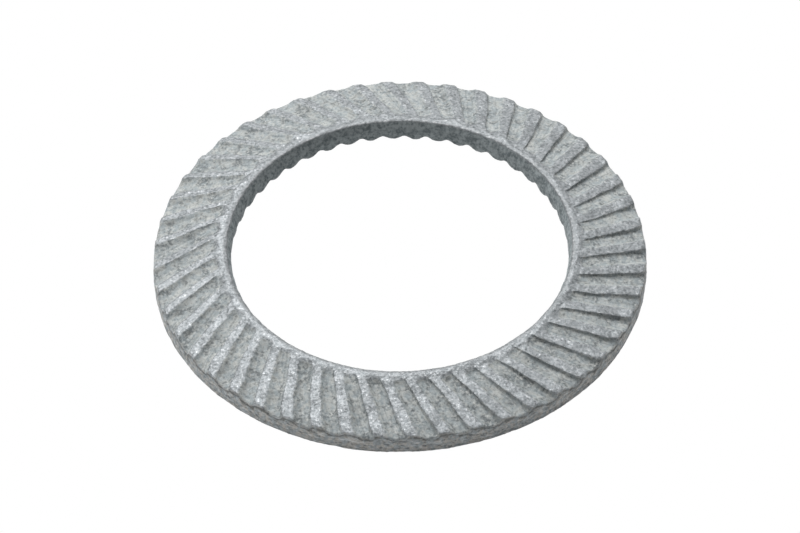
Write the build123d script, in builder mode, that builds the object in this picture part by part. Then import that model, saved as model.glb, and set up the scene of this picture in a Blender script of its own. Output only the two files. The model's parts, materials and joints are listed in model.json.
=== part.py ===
"""Ribbed conical lock washer for an M20 screw: one coined and dished disc of spring steel.

The washer lies with its outer edge on the ground and its bore raised. Slanted ribs are coined
into both faces. On the upper face they run out through the outer rim and stop short of the bore,
and on the underside they run out through the bore and stop short of the outer edge.
Millimetres, +Z up along the bore, origin at the centre of the circle that the washer rests on.
"""
import os
from math import copysign, sqrt

from build123d import *

os.makedirs("parts", exist_ok=True)

# Dished disc
screw_diameter = 20.0
bore_clearance = 0.5  # on the diameter, at the smooth cylindrical land of the bore's lower edge
bore_flare = 0.5  # growth of the bore's diameter from its land to its upper edge
bore_land_height = 0.75
bore_wall_height = 1.45
bore_foot_height = 1.09  # lower edge of the bore above the ground
ring_width = 4.75  # from the bore's land to the outer edge
rim_height = 1.48  # outer edge, from the ground to the tops of the ribs
edge_break = 0.1  # blunted corners of the rim and of the upper bore edge

# Slanted ribs, alike in number and slant on both faces
rib_count = 48
groove_offset = 5.22  # distance from the washer's axis to the middle line of each groove
end_roundness_share = 0.35  # bulge of a groove's closed end, as a share of its half width
cut_overrun = 0.2

# Grooves of the upper face, open at the rim: one steep wall that bites, one gentler ramp
upper_floor_width = 0.42
upper_open_depth = 0.25
upper_closed_depth = 0.13
upper_steep_run_share = 0.35  # sideways run of the steep wall for each unit of depth
upper_ramp_run_share = 2.4
upper_plain_band = 0.75  # ring beside the bore that the groove floors don't reach

# Grooves of the underside, open at the bore: two like walls round a narrow floor
under_floor_width = 0.26
under_open_depth = 0.27
under_closed_depth = 0.12
under_wall_run_share = 1.1
under_plain_band = 0.7  # ring beside the outer edge that the groove floors don't reach
under_turn_share = 0.99  # how far the lower ribs are turned from the upper ones, in pitches

bore_radius = (screw_diameter + bore_clearance) / 2
mouth_radius = bore_radius + bore_flare / 2  # upper edge of the bore
outer_radius = bore_radius + ring_width
free_height = bore_foot_height + bore_wall_height  # upper edge of the bore above the ground
shoulder_radius = outer_radius - edge_break  # outer end of both sloping faces
crown_radius = mouth_radius + edge_break  # inner end of the upper face
upper_slope = (free_height - rim_height) / (shoulder_radius - crown_radius)
under_slope = bore_foot_height / (shoulder_radius - bore_radius)
rib_pitch_angle = 360 / rib_count


def groove_outline(plane, closed_x, open_x, closed_sides, open_sides):
    """Face of a straight groove's outline, with one open end and one rounded end."""
    (closed_left, closed_right), (open_left, open_right) = closed_sides, open_sides
    bulge = end_roundness_share * (closed_left - closed_right) / 2
    tip = (closed_x + copysign(bulge, closed_x - open_x), (closed_left + closed_right) / 2)
    with BuildSketch(plane) as outline:
        with BuildLine():
            Polyline(
                (closed_x, closed_left),
                (open_x, open_left),
                (open_x, open_right),
                (closed_x, closed_right),
            )
            ThreePointArc((closed_x, closed_right), tip, (closed_x, closed_left))
        make_face()
    return outline.sketch


def groove_tool(side, shoulder_height, slope, radii, depths, floor_width, run_shares):
    """Solid of one groove in the face that looks up (side 1) or down (side -1).

    The pairs of radii and depths are for the groove's closed end and its open end, and the run
    shares for its left and right walls as seen along it from the bore. The groove lies along X
    beside the washer's axis, on the plane that touches the cone at the middle of its length.
    """
    closed_radius, open_radius = radii
    closed_depth, open_depth = depths
    left_share, right_share = run_shares
    middle_radius = (closed_radius + open_radius) / 2
    closed_along, middle_along, open_along = (
        sqrt(radius**2 - groove_offset**2) for radius in (closed_radius, middle_radius, open_radius)
    )
    along = Vector(1, 0, -slope * middle_along / middle_radius)
    across = Vector(0, 1, slope * side * groove_offset / middle_radius)
    outward = along.cross(across).normalized() * side
    middle = Vector(
        middle_along,
        -side * groove_offset,
        shoulder_height + slope * (shoulder_radius - middle_radius),
    )
    closed_x = (closed_along - middle_along) * along.length
    open_x = (open_along - middle_along) * along.length

    fall = (open_depth - closed_depth) / (open_x - closed_x)
    floor_along = along.normalized() - outward * fall
    floor_plane = Plane(
        origin=middle - outward * (closed_depth - fall * closed_x),
        x_dir=floor_along,
        z_dir=floor_along.cross(outward.cross(along)),
    )
    mouth_plane = Plane(origin=middle + outward * cut_overrun, x_dir=along, z_dir=outward)

    floor_sides = (floor_width / 2, -floor_width / 2)
    closed_mouth, open_mouth = (
        (
            floor_width / 2 + left_share * (depth + cut_overrun),
            -floor_width / 2 - right_share * (depth + cut_overrun),
        )
        for depth in depths
    )
    # The open end is square to the groove, so it passes the slanting edge by the mouth's skew.
    skew = (open_mouth[0] - open_mouth[1]) * groove_offset / open_along
    past_edge_x = open_x + copysign(cut_overrun + skew, open_x)
    with BuildPart() as tool:
        add(groove_outline(floor_plane, closed_x, past_edge_x, floor_sides, floor_sides))
        add(groove_outline(mouth_plane, closed_x, past_edge_x, closed_mouth, open_mouth))
        loft(ruled=True)
    return tool.part


upper_groove = groove_tool(
    side=1,
    shoulder_height=rim_height,
    slope=upper_slope,
    radii=(mouth_radius + upper_plain_band, outer_radius),
    depths=(upper_closed_depth, upper_open_depth),
    floor_width=upper_floor_width,
    run_shares=(upper_steep_run_share, upper_ramp_run_share),
)
under_groove = groove_tool(
    side=-1,
    shoulder_height=0,
    slope=under_slope,
    radii=(outer_radius - under_plain_band, bore_radius),
    depths=(under_closed_depth, under_open_depth),
    floor_width=under_floor_width,
    run_shares=(under_wall_run_share, under_wall_run_share),
)

with BuildPart() as lock_washer:
    with BuildSketch(Plane.XZ):
        with BuildLine():
            Polyline(
                (shoulder_radius, 0),
                (outer_radius, edge_break),
                (outer_radius, rim_height - edge_break),
                (shoulder_radius, rim_height),
                (crown_radius, free_height),
                (mouth_radius, free_height - edge_break),
                (bore_radius, bore_foot_height + bore_land_height),
                (bore_radius, bore_foot_height),
                close=True,
            )
        make_face()
    revolve(axis=Axis.Z)
    with PolarLocations(0, rib_count):
        add(upper_groove, mode=Mode.SUBTRACT)
    with PolarLocations(0, rib_count, start_angle=rib_pitch_angle * under_turn_share):
        add(under_groove, mode=Mode.SUBTRACT)

lock_washer.part.label = "lock_washer"
export_step(lock_washer.part, "parts/lock_washer.step")
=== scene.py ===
"""Looks of the ribbed conical lock washer: its coined skin, its zinc-flake coat and a plain studio."""
import json
from math import asin, atan2, cos, pi, radians, sin
from typing import NamedTuple

import bpy
from mathutils import Matrix, Vector


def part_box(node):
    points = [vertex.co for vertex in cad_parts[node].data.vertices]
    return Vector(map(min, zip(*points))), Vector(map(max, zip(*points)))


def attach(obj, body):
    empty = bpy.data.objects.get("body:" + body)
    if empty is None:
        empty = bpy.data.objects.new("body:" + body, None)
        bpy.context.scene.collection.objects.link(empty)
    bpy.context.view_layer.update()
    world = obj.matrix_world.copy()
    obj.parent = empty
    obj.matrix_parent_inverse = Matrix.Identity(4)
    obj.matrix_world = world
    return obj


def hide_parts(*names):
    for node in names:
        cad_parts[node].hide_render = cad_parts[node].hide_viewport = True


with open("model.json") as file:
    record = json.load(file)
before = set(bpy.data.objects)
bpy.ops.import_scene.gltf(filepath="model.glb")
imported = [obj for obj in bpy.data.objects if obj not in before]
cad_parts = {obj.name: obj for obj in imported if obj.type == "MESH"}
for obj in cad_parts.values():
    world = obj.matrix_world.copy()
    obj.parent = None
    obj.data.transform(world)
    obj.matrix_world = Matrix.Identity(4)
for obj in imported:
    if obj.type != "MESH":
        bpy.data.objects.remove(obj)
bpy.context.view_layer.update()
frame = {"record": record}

MM = 0.001

# Dished disc, in millimetres
bore = next(mount for mount in frame["record"]["mounts"] if mount["name"] == "bolt_bore")
coat_sink = 0.03  # about as much as the roughening takes off the bore's wall
bore_radius = bore["dims"]["r_mm"] - coat_sink
outer_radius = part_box("lock_washer")[1][0] / MM
free_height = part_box("lock_washer")[1][2] / MM
bore_foot_height = 1.09
bore_flare = 0.25  # growth of the bore's radius up to its upper edge
bore_flare_share = 0.5  # upper share of the bore's wall that flares
bore_lip_share = 0.125  # upper share of the bore's wall that is worn, with a painted highlight, like the edge above it
rim_height = 1.48
edge_break = 0.1
rim_crease = 0.03  # depth of the line just under the rim's upper edge
brow_start = 0.7  # share of the rim's height above which painted shade darkens it
# Painted shade under the rim's upper edge and in the crease below it.
brow_shade = 0.38
crease_shade = 0.4
crown_roll = 0.08
crown_roll_width = 0.3
rim_softening = 0.16  # how much further the steep walls run at the rim
rim_softening_reach = 0.5
mouth_radius = bore_radius + bore_flare
crown_radius = mouth_radius + edge_break
shoulder_radius = outer_radius - edge_break
upper_slope = (free_height - rim_height) / (shoulder_radius - crown_radius)
under_slope = bore_foot_height / (shoulder_radius - bore_radius)

# Slanted ribs, in millimetres
rib_count = 48
rib_pitch = 2 * pi / rib_count
COPY_ROUNDS = (3, 2, 2, 2, 2)  # each round repeats all pitches so far, until there is one for each rib
merge_distance = 0.002
groove_offset = 5.22  # from the washer's axis to the middle line of each groove
upper_plain_band = 0.84  # ring beside the bore that the upper grooves' floors don't reach
under_plain_band = 0.7  # ring beside the outer edge that the lower grooves' floors don't reach
under_turn_share = 0.99  # how far the lower ribs are turned from the upper ones, in pitches
under_turn = under_turn_share * rib_pitch
coined_margin = 0.6  # ring beside each edge in which the ribs wander less
# Painted shade where the grooves close.
end_shade = 1.2
wide_side = radians(160)
widening = radians(1.3)
shallow_side = radians(110)
shallowing_share = 0.3

# The photograph's camera: its place in metres, its lens and sensor in millimetres
camera_elevation = radians(46.36)
camera_turn = radians(2.91)
camera_roll = radians(-1.13)
camera_distance = 0.57
camera_side_step = -0.00001
camera_lift = 0.000333
camera_lens = 421.7
camera_sensor_width = 36

# Studio, in metres
floor_size = 4
softbox_size = 0.35
softbox_distance = 0.5
world_light = 0.12
FLOOR_GREY = (0.72, 0.72, 0.72, 1)
WHITE = (1, 1, 1, 1)

# Coat on the ribs, in the grooves, on the walls of the rim and the bore, and at worn edges; painted shade
# with some grime in corners and creases, painted shade in the bore, a painted highlight on the worn edge
# and painted glints on the flecks
RIB_DARK = (0.18, 0.196, 0.205, 1)
RIB_PALE = (0.295, 0.31, 0.321, 1)
RIB_PIT = (0.075, 0.082, 0.086, 1)
RIB_STAIN = (0.11, 0.12, 0.126, 1)
# Bright zinc flecks, lightened with painted glints:
RIB_FLECK_GLINT = (0.62, 0.63, 0.64, 1)
GROOVE_GREY = (0.34, 0.38, 0.394, 1)
GROOVE_PALE = (0.51, 0.525, 0.508, 1)
GROOVE_SCORE = (0.16, 0.178, 0.186, 1)
GROOVE_PIT = (0.12, 0.134, 0.14, 1)
GROOVE_STAIN = (0.14, 0.158, 0.166, 1)
GROOVE_BRIGHT = (0.69, 0.7, 0.68, 1)
RIM_GREY = (0.445, 0.49, 0.513, 1)
RIM_PALE = (0.625, 0.61, 0.578, 1)
RIM_DARK = (0.18, 0.195, 0.2, 1)
RIM_BRIGHT = (0.88, 0.9, 0.91, 1)
# Bluish coat on the bore's wall, made darker as painted shade inside the hole:
BORE_SHADED_DARK = (0.156, 0.185, 0.195, 1)
BORE_SHADED_PALE = (0.41, 0.455, 0.467, 1)
WORN_DARK = (0.16, 0.17, 0.176, 1)
# Painted highlight on the worn edge, which also shows the worn coat:
WORN_HIGHLIGHT = (0.5, 0.51, 0.52, 1)
# Painted shade in corners and creases, with some grime:
SHADE_AND_GRIME = (0.09, 0.1, 0.1, 1)
coat_relief = 0.05  # height of the coat's bumps, in millimetres
noise_mean = 0.5
rim_streak_scales = (1, 1, 2.5)
score_scale_along = 0.5
score_scale_across = 4


class Column(NamedTuple):
    """A line of points along a groove: its place on one of the slopes, and how deep it lies."""

    side: int  # -1 for the left slope seen from the bore, 0 for the middle of the floor, 1 for the right
    run_share: float  # from the slope's foot to its top
    step: float  # further aside, in millimetres
    sunk_share: float
    floor_share: float = 0.0
    # Painted shade at this line of points, with some grime on the slopes:
    dirt: float = 0.0
    widened_share: float = 0.0


class Groove(NamedTuple):
    """The grooves of one face: where they run, how deep they are and the shape of their section."""

    side: int  # 1 for the face that looks up, -1 for the one that looks down
    closed_radius: float
    open_radius: float
    closed_depth: float
    open_depth: float
    half_floor: float
    left_run_share: float  # sideways run of a slope for each unit of depth
    right_run_share: float
    end_run: float  # length of the slope at the closed end
    end_rounding: float
    end_tip_share: float  # place of the rounded end's tip, in half floors from the middle
    columns: tuple


upper = Groove(
    side=1,
    closed_radius=mouth_radius + upper_plain_band,
    open_radius=outer_radius,
    closed_depth=0.13,
    open_depth=0.25,
    half_floor=0.21,
    left_run_share=2.4,
    right_run_share=0.35,
    end_run=0.3,
    end_rounding=0.02,
    end_tip_share=0.8,
    columns=(
        Column(-1, 0.94, 0.0, 0.0, 0.25, 0.0, 0.85),
        Column(-1, 0.74, 0.0, 0.27, 0.85, 0.15, 0.85),
        Column(-1, 0.42, 0.0, 0.92, 1.0, 0.32, 0.8),
        Column(-1, 0.12, 0.0, 1.06, 1.0, 0.2, 0.5),
        Column(0, 0.0, 0.02, 1.1, 1.0, 0.0, 0.1),
        Column(1, 0.2, 0.02, 1.12, 1.0),
        Column(1, 0.6, 0.01, 0.5, 0.8),
        Column(1, 1.0, 0.01, 0.03, 0.2),
    ),
)
under = Groove(
    side=-1,
    closed_radius=outer_radius - under_plain_band,
    open_radius=bore_radius,
    closed_depth=0.12,
    open_depth=0.27,
    half_floor=0.13,
    left_run_share=1.1,
    right_run_share=1.1,
    end_run=0.25,
    end_rounding=0.012,
    end_tip_share=0.0,
    columns=(
        Column(-1, 1.0, 0.05, 0.0),
        Column(-1, 0.7, 0.0, 0.2, 0.2, 0.2),
        Column(-1, 0.15, 0.0, 0.76, 0.8, 0.4),
        Column(0, 0.0, 0.0, 1.18, 1.0, 0.4),
        Column(1, 0.15, 0.0, 0.76, 0.8, 0.4),
        Column(1, 0.7, 0.0, 0.2, 0.2, 0.2),
        Column(1, 1.0, 0.05, 0.0),
        Column(1, 1.0, 0.12, 0.0),
    ),
)
LAND_SHARES = (0.14, 0.6)  # places of the points on top of a rib, across it

# Steps of the rows of points round the section, as shares of each stretch
UNDER_STEPS = (
    0, 0.013, 0.04, 0.09, 0.16, 0.25, 0.35, 0.46, 0.57,
    0.67, 0.76, 0.83, 0.88, 0.92, 0.95, 0.98, 1,
)
RIM_STEPS = (0, 0.3, 0.6, 0.82, 0.92, 1)
UPPER_STEPS = (
    0, 0.02, 0.05, 0.1, 0.165, 0.235, 0.305, 0.375, 0.445, 0.515, 0.585, 0.65,
    0.71, 0.76, 0.805, 0.845, 0.88, 0.91, 0.935, 0.955, 0.972, 0.987, 1,
)
BORE_STEPS = (0, 0.1, 0.28, 0.5, 0.72, 0.9, 1)


class Clouds(NamedTuple):
    """Noise that roughens the skin, along its normals or freely. Lengths are in millimetres."""

    name: str
    direction: str
    size: float
    strength: float
    mid_level: float
    group: str = ""  # empty for the whole skin


ROUGHENINGS = (
    Clouds("uneven_pressing", "NORMAL", 2.5, 0.1, 0.5, "groove_floors"),
    Clouds("patchy_pressing", "NORMAL", 0.8, 0.06, 0.5, "groove_floors"),
    Clouds("wandering_grooves", "RGB_TO_XYZ", 1.6, 0.16, 0.5, "coined_ribs"),
    Clouds("wandering_edges", "RGB_TO_XYZ", 0.25, 0.06, 0.5, "coined_ribs"),
    Clouds("uneven_coining", "NORMAL", 1.3, 0.06, 0.75),
    Clouds("gritty_coat", "NORMAL", 0.2, 0.045, 0.85),
)


class SkinPoint(NamedTuple):
    """A point of the skin in its section, how far it may wander, and what is kept on the mesh."""

    angle: float
    radius: float
    height: float
    coined: float = 0.0
    groove_floor: float = 0.0
    # Painted shade in corners and creases, with some grime, kept on the mesh:
    corner_dirt: float = 0.0
    rim_wall: float = 0.0
    bore_wall: float = 0.0
    # Worn coat with a painted highlight at the edge round the bore, kept on the mesh:
    worn_edge: float = 0.0
    widened: float = 0.0
    sunk: float = 0.0
    across: float = 0.0


KEPT_ON_MESH = SkinPoint._fields[4:]


def smooth_step(share):
    """Ease from 0 to 1, level at both ends."""
    share = min(max(share, 0.0), 1.0)
    return share * share * (3 - 2 * share)


def between(start, end, share):
    """The value at a share of the way from start to end."""
    return start + share * (end - start)


def coined_row(groove, radius, land_height, turn):
    """One row of points across a rib and its groove, at a radius of a ribbed face."""
    along_share = (radius - groove.closed_radius) / (groove.open_radius - groove.closed_radius)
    depth = between(groove.closed_depth, groove.open_depth, along_share)
    from_edge = min(radius - crown_radius, outer_radius - radius)
    coined = smooth_step(from_edge / coined_margin)
    softened = rim_softening * smooth_step(1 - (outer_radius - radius) / rim_softening_reach)
    wear_and_highlight = 1 - smooth_step((radius - crown_radius) / crown_roll_width) if groove.side > 0 else 0.0
    row = []
    for column in groove.columns:
        run_share = groove.left_run_share if column.side < 0 else groove.right_run_share
        run = run_share * depth + softened * (column.side == groove.side)
        from_middle = groove.half_floor + column.run_share * run + column.step
        beside = column.side * from_middle if column.side else column.step
        rounding = groove.end_rounding * (beside / groove.half_floor - groove.end_tip_share) ** 2
        past_end = groove.side * (radius - groove.closed_radius) - rounding + groove.end_run
        reached = smooth_step(past_end / groove.end_run)
        sunk = depth * column.sunk_share * reached
        # Painted shade gathers at the grooves' closed ends.
        shade_at_end = end_shade * column.floor_share * reached * (1 - reached)
        row.append(SkinPoint(
            angle=turn + asin((beside - groove.side * groove_offset) / radius),
            radius=radius,
            height=land_height - groove.side * sunk,
            coined=coined,
            groove_floor=column.floor_share * reached,
            corner_dirt=column.dirt * reached + shade_at_end,
            worn_edge=wear_and_highlight,
            widened=column.widened_share,
            sunk=sunk if groove.side > 0 else 0.0,
            across=beside,
        ))
    start = row[-1].angle
    end = row[0].angle + rib_pitch
    top = row[-1]._replace(height=land_height, groove_floor=0.0, corner_dirt=0.0, sunk=0.0)
    for share in LAND_SHARES:
        row.append(top._replace(angle=between(start, end, share)))
    row.append(row[0]._replace(angle=end))
    return row


def section_rows():
    """Rows of points once round the section of one pitch: underside, rim, upper face and bore."""
    rows = []
    for step in UNDER_STEPS:
        radius = between(bore_radius, shoulder_radius, step)
        rows.append(coined_row(under, radius, under_slope * (shoulder_radius - radius), under_turn))
    foot_row = rows[0]
    shoulder_row = rows[-1]

    # The rim's and the bore's lines of points lead from the lower ribs to the upper ones.
    pitches = round((shoulder_row[0].angle + groove_offset / outer_radius) / rib_pitch)
    brow_row = coined_row(upper, outer_radius, rim_height - edge_break, pitches * rib_pitch)
    for step in RIM_STEPS:
        # Painted shade darkens the rim's brow and the crease under its edge.
        creased = step == RIM_STEPS[-2]
        brow = step > brow_start
        rows.append([
            SkinPoint(
                angle=between(low.angle, high.angle, smooth_step(step)),
                radius=outer_radius - rim_crease * creased,
                height=between(edge_break, high.height, step),
                corner_dirt=brow_shade * brow + crease_shade * creased,
                rim_wall=1.0,
                widened=high.widened * smooth_step(step),
                sunk=high.sunk * step,
            )
            for low, high in zip(shoulder_row, brow_row)
        ])
    for step in UPPER_STEPS:
        radius = between(shoulder_radius, crown_radius, step)
        rolled = max(1 - (radius - crown_radius) / crown_roll_width, 0)
        height = rim_height + upper_slope * (shoulder_radius - radius) - crown_roll * rolled**2
        rows.append(coined_row(upper, radius, height, pitches * rib_pitch))
    crown_row = rows[-1]
    pitches = round((crown_row[0].angle - foot_row[0].angle) / rib_pitch)
    for step in BORE_STEPS:
        walled = smooth_step(step / bore_lip_share)
        rows.append([
            SkinPoint(
                angle=between(crown.angle, foot.angle + pitches * rib_pitch, smooth_step(step)),
                radius=mouth_radius - bore_flare * min(step / bore_flare_share, 1),
                height=between(free_height - edge_break, foot.height, step),
                bore_wall=walled,
                worn_edge=1 - walled,
            )
            for crown, foot in zip(crown_row, foot_row)
        ])
    return rows


def press_pitch():
    """One pitch of the skin: a flat grid whose points move to their places round the section."""
    rows = section_rows()
    columns = len(rows[0])
    bpy.ops.object.select_all(action="DESELECT")
    bpy.ops.mesh.primitive_grid_add(x_subdivisions=columns - 1, y_subdivisions=len(rows) - 1, size=MM)
    washer = bpy.context.object
    washer.name = "coated_washer"
    for name in KEPT_ON_MESH:
        washer.data.attributes.new(name, "FLOAT", "POINT")
    ribs = washer.vertex_groups.new(name="coined_ribs")
    floors = washer.vertex_groups.new(name="groove_floors")
    for vertex in washer.data.vertices:
        row, column = divmod(vertex.index, columns)
        point = rows[row][column]
        x = point.radius * cos(point.angle)
        y = point.radius * sin(point.angle)
        vertex.co = Vector((x, y, point.height)) * MM
        ribs.add([vertex.index], point.coined, "REPLACE")
        floors.add([vertex.index], point.groove_floor, "REPLACE")
        for name in KEPT_ON_MESH:
            washer.data.attributes[name].data[vertex.index].value = getattr(point, name)
    return washer


def close_ring():
    """Copy the pitch in hand round the bore and join the copies to one closed skin."""
    bpy.ops.object.mode_set(mode="EDIT")
    copies = 1
    for times in COPY_ROUNDS:
        bpy.ops.mesh.select_all(action="SELECT")
        for _ in range(times - 1):
            bpy.ops.mesh.duplicate()
            bpy.ops.transform.rotate(
                value=-copies * rib_pitch, orient_axis="Z", center_override=(0, 0, 0)
            )
        copies *= times
    bpy.ops.mesh.select_all(action="SELECT")
    bpy.ops.mesh.remove_doubles(threshold=merge_distance * MM)
    bpy.ops.mesh.normals_make_consistent(inside=False)
    bpy.ops.object.mode_set(mode="OBJECT")


def press_askew(washer):
    """Widen the grooves on one side and raise their floors behind, as a die set askew does."""
    for vertex in washer.data.vertices:
        around = atan2(vertex.co.y, vertex.co.x)
        wide = max(cos(around - wide_side), 0) ** 2
        shallow = max(cos(around - shallow_side), 0) ** 4
        widened = washer.data.attributes["widened"].data[vertex.index].value
        sunk = washer.data.attributes["sunk"].data[vertex.index].value
        vertex.co = Matrix.Rotation(-widening * widened * wide, 3, "Z") @ vertex.co
        vertex.co.z += shallowing_share * sunk * shallow * MM


def roughen(piece, clouds):
    """Displace a piece by clouds of one size, and apply it."""
    texture = bpy.data.textures.new(clouds.name, "CLOUDS")
    texture.noise_scale = clouds.size * MM
    texture.noise_depth = 1
    texture.cloud_type = "COLOR" if clouds.direction == "RGB_TO_XYZ" else "GRAYSCALE"
    displace = piece.modifiers.new(clouds.name, "DISPLACE")
    displace.texture = texture
    displace.texture_coords = "LOCAL"
    displace.direction = clouds.direction
    displace.strength = clouds.strength * MM
    displace.mid_level = clouds.mid_level
    displace.vertex_group = clouds.group
    bpy.ops.object.modifier_apply(modifier=displace.name)


def make_washer():
    """The skin of the whole washer: one pitch repeated, closed, set askew, rounded and roughened."""
    washer = press_pitch()
    close_ring()
    press_askew(washer)
    rounding = washer.modifiers.new("rounding", "SUBSURF")
    rounding.levels = 1
    rounding.render_levels = 1
    bpy.ops.object.modifier_apply(modifier=rounding.name)
    for clouds in ROUGHENINGS:
        roughen(washer, clouds)
    bpy.ops.object.shade_smooth()
    return washer


class Shade:
    """An output socket in a node tree. Sums on it add Math nodes, and node adds any other kind."""

    def __init__(self, tree, socket=None):
        self.tree = tree
        self.socket = socket

    def node(self, kind, settings, sockets, output=0):
        """Add a node, set its settings and then its sockets, each to a value or to another shade."""
        added = self.tree.nodes.new(kind)
        for name, value in settings.items():
            setattr(added, name, value)
        for name, value in sockets.items():
            if isinstance(value, Shade):
                self.tree.links.new(value.socket, added.inputs[name])
            else:
                added.inputs[name].default_value = value
        return Shade(self.tree, None if output is None else added.outputs[output])

    def maths(self, operation, first, second):
        """Add a Math node for two shades, or for a shade and a number."""
        return self.node("ShaderNodeMath", {"operation": operation}, {0: first, 1: second})

    def __add__(self, other):
        return self.maths("ADD", self, other)

    def __sub__(self, other):
        return self.maths("SUBTRACT", self, other)

    def __rsub__(self, other):
        return self.maths("SUBTRACT", other, self)

    def __mul__(self, other):
        return self.maths("MULTIPLY", self, other)

    __radd__ = __add__
    __rmul__ = __mul__


def new_material(name):
    """An empty node material and the shade that its nodes are added from."""
    material = bpy.data.materials.new(name)
    material.use_nodes = True
    material.node_tree.nodes.clear()
    return material, Shade(material.node_tree)


def coated_steel():
    """Zinc-flake coat: speckled on the ribs, stained in the grooves, mottled on the walls."""
    material, shade = new_material("zinc_flake_coat")

    def vectors(operation, sockets):
        return shade.node("ShaderNodeVectorMath", {"operation": operation}, sockets)

    place = shade.node("ShaderNodeTexCoord", {}, {}, output="Object")
    place = vectors("SCALE", {0: place, "Scale": 1 / MM})

    def noise(scale, detail, roughness, where=place):
        return shade.node(
            "ShaderNodeTexNoise", {},
            {"Vector": where, "Scale": scale, "Detail": detail, "Roughness": roughness},
        )

    def ramp(value, low, high):
        return shade.node(
            "ShaderNodeMapRange", {"interpolation_type": "SMOOTHSTEP"},
            {"Value": value, "From Min": low, "From Max": high},
        )

    def mix(share, first, second):
        # Inputs 6 and 7 and output 2 are the ones for colours.
        return shade.node(
            "ShaderNodeMix", {"data_type": "RGBA"}, {0: share, 6: first, 7: second}, output=2
        )

    def kept_share(name):
        return shade.node("ShaderNodeAttribute", {"attribute_name": name}, {}, output="Fac")

    floor = kept_share("groove_floor")
    dirt = kept_share("corner_dirt")
    rim = kept_share("rim_wall")
    bore_side = kept_share("bore_wall")
    wear_and_highlight = kept_share("worn_edge")
    grain = noise(5.5, 4.0, 0.66)
    speck = noise(6.4, 1.0, 0.5)
    patch = noise(2.6, 3.0, 0.65)
    stain = ramp(noise(1.3, 3.0, 0.6), 0.48, 0.62)
    fleck = ramp(speck, 0.62, 0.74)
    flattened = vectors("MULTIPLY", {0: place, 1: rim_streak_scales})
    streak = noise(2.2, 4.0, 0.65, flattened)

    # Scoring changes slowly along a groove and fast across it.
    aside = vectors("SCALE", {0: [score_scale_across] * 3, "Scale": kept_share("across")})
    drawn = vectors("MULTIPLY_ADD", {0: place, 1: [score_scale_along] * 3, 2: aside})
    scored = noise(1.0, 2.0, 0.6, drawn)

    land = mix(ramp(grain, 0.34, 0.66), RIB_DARK, RIB_PALE)
    land = mix(ramp(speck, 0.44, 0.32) * 0.6, land, RIB_PIT)
    land = mix(stain * ramp(grain, 0.6, 0.4) * 0.4, land, RIB_STAIN)
    # Bright zinc flecks, lightened with painted glints.
    land = mix(fleck * 0.35, land, RIB_FLECK_GLINT)
    hollow = mix(ramp(patch, 0.36, 0.64), GROOVE_GREY, GROOVE_PALE)
    hollow = mix(ramp(scored, 0.5, 0.34) * 0.4, hollow, GROOVE_SCORE)
    hollow = mix(ramp(grain, 0.49, 0.33) * 0.6, hollow, GROOVE_PIT)
    hollow = mix(stain * ramp(grain, 0.62, 0.42) * 0.85, hollow, GROOVE_STAIN)
    hollow = mix(ramp(grain, 0.54, 0.68) * 0.5, hollow, GROOVE_BRIGHT)
    rim_mottle = streak * 0.6 + grain * 0.4
    rim_side = mix(ramp(patch, 0.42, 0.58), RIM_GREY, RIM_PALE)
    rim_side = mix(ramp(rim_mottle, 0.51, 0.37) * 0.95, rim_side, RIM_DARK)
    rim_side = mix(ramp(rim_mottle, 0.51, 0.62) * 0.7, rim_side, RIM_BRIGHT)
    bore_mottle = patch * 0.5 + grain * 0.5
    # The bore's mottled coat, made darker as painted shade inside the hole.
    bore_shaded_tone = mix(ramp(bore_mottle, 0.39, 0.6), BORE_SHADED_DARK, BORE_SHADED_PALE)

    pressed = ramp(floor + (patch - noise_mean) * 0.9 + (grain - noise_mean) * 0.9, 0.1, 0.9)
    shaded_and_grimy = ramp(dirt + (grain - noise_mean) * 1.1 + (patch - noise_mean) * 1.8, 0.3, 0.8)
    colour = mix(pressed, land, hollow)
    colour = mix(wear_and_highlight * ramp(speck, 0.3, 0.6), colour, WORN_DARK)
    # Painted highlight along the worn edge round the bore.
    colour = mix(wear_and_highlight * wear_and_highlight * wear_and_highlight * ramp(speck, 0.5, 0.62) * 0.3, colour, WORN_HIGHLIGHT)
    colour = mix(rim, colour, rim_side)
    colour = mix(bore_side, colour, bore_shaded_tone)
    # Painted shade in corners, in creases, under the rim's edge and at the grooves' closed ends, with some
    # grime on the slopes.
    colour = mix(shaded_and_grimy * 0.75, colour, SHADE_AND_GRIME)

    shine = (1 - pressed) * (1 - rim) * (1 - bore_side) * (1 - wear_and_highlight * 0.1)
    relief = (grain * 0.6 + speck * 0.4 - noise_mean) * (0.75 + pressed * 0.5)
    bump = shade.node(
        "ShaderNodeBump", {},
        {"Height": relief, "Strength": 1.0, "Distance": coat_relief * MM},
        output="Normal",
    )
    surface = shade.node(
        "ShaderNodeBsdfPrincipled", {},
        {
            "Base Color": colour,
            "Metallic": shine * (0.46 + fleck * 0.25),
            "Roughness": 0.78 - shine * 0.24 - grain * 0.1,
            "Specular IOR Level": 0.35,
            "Normal": bump,
        },
    )
    shade.node("ShaderNodeOutputMaterial", {}, {"Surface": surface}, output=None)
    return material


def seen_directly(shade):
    """Share of the rays that show a backdrop itself: camera, mirror and glass rays."""
    camera, glossy, transmission = (
        shade.node("ShaderNodeLightPath", {}, {}, output=name)
        for name in ("Is Camera Ray", "Is Glossy Ray", "Is Transmission Ray")
    )
    return camera + glossy + transmission


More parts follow.
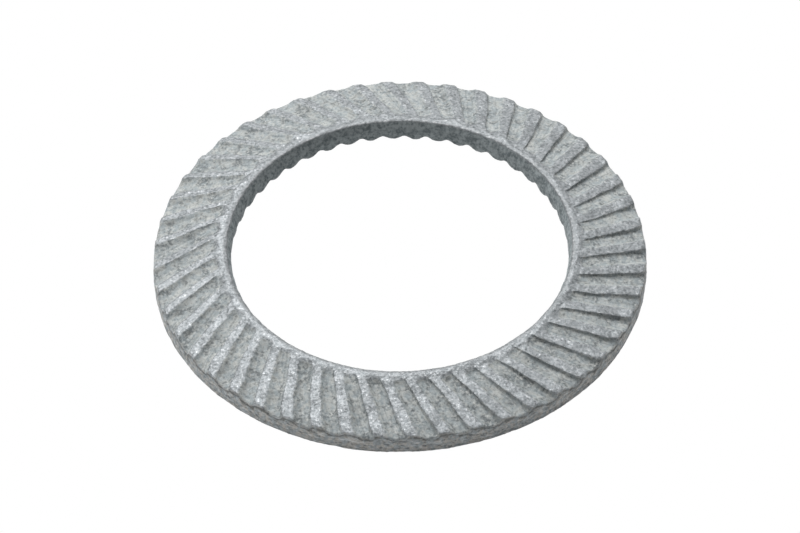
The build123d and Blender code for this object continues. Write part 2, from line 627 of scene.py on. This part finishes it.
def make_floor():
    """A floor that is seen as white and lights the washer as a grey one."""
    bpy.ops.object.select_all(action="DESELECT")
    bpy.ops.mesh.primitive_plane_add(size=floor_size)
    floor = bpy.context.object
    floor.name = "studio_floor"
    material, shade = new_material("white_floor")
    grey = shade.node("ShaderNodeBsdfDiffuse", {}, {"Color": FLOOR_GREY})
    white = shade.node("ShaderNodeEmission", {}, {"Color": WHITE, "Strength": 1.0})
    surface = shade.node("ShaderNodeMixShader", {}, {0: seen_directly(shade), 1: grey, 2: white})
    shade.node("ShaderNodeOutputMaterial", {}, {"Surface": surface}, output=None)
    floor.data.materials.append(material)


def hang_softbox(name, watts, azimuth, elevation):
    """A square lamp that looks at the washer. Its azimuth is counted from the camera's right."""
    lamp = bpy.data.lights.new(name, "AREA")
    lamp.shape = "SQUARE"
    lamp.size = softbox_size
    lamp.energy = watts
    softbox = bpy.data.objects.new(name, lamp)
    bpy.context.collection.objects.link(softbox)
    around = azimuth + camera_turn
    away = Vector((cos(elevation) * cos(around), cos(elevation) * sin(around), sin(elevation)))
    softbox.location = away * softbox_distance
    softbox.rotation_euler = away.to_track_quat("Z", "Y").to_euler()


def light_studio():
    """A world that is seen as white and lights weakly, a key softbox behind and a weak one on the left."""
    world = bpy.data.worlds.new("studio")
    bpy.context.scene.world = world
    world.use_nodes = True
    world.node_tree.nodes.clear()
    shade = Shade(world.node_tree)
    strength = world_light + (1 - world_light) * seen_directly(shade)
    light = shade.node("ShaderNodeBackground", {}, {"Color": WHITE, "Strength": strength})
    shade.node("ShaderNodeOutputWorld", {}, {"Surface": light}, output=None)

    hang_softbox("key_softbox", watts=3.0, azimuth=radians(104), elevation=radians(57))
    hang_softbox("fill_softbox", watts=0.4, azimuth=radians(190), elevation=radians(20))


def place_camera():
    """The camera that sees the washer as the photograph does."""
    lens = bpy.data.cameras.new("photo_camera")
    lens.lens = camera_lens
    lens.sensor_width = camera_sensor_width
    camera = bpy.data.objects.new("photo_camera", lens)
    bpy.context.collection.objects.link(camera)
    camera.matrix_world = (
        Matrix.Rotation(camera_turn, 4, "Z")
        @ Matrix.Rotation(pi / 2 - camera_elevation, 4, "X")
        @ Matrix.Rotation(camera_roll, 4, "Z")
        @ Matrix.Translation((camera_side_step, camera_lift, camera_distance))
    )
    bpy.context.scene.camera = camera


washer = make_washer()
washer.data.materials.append(coated_steel())
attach(washer, "root")
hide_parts("lock_washer")
make_floor()
light_studio()
place_camera()
bpy.context.scene.view_settings.view_transform = "Standard"
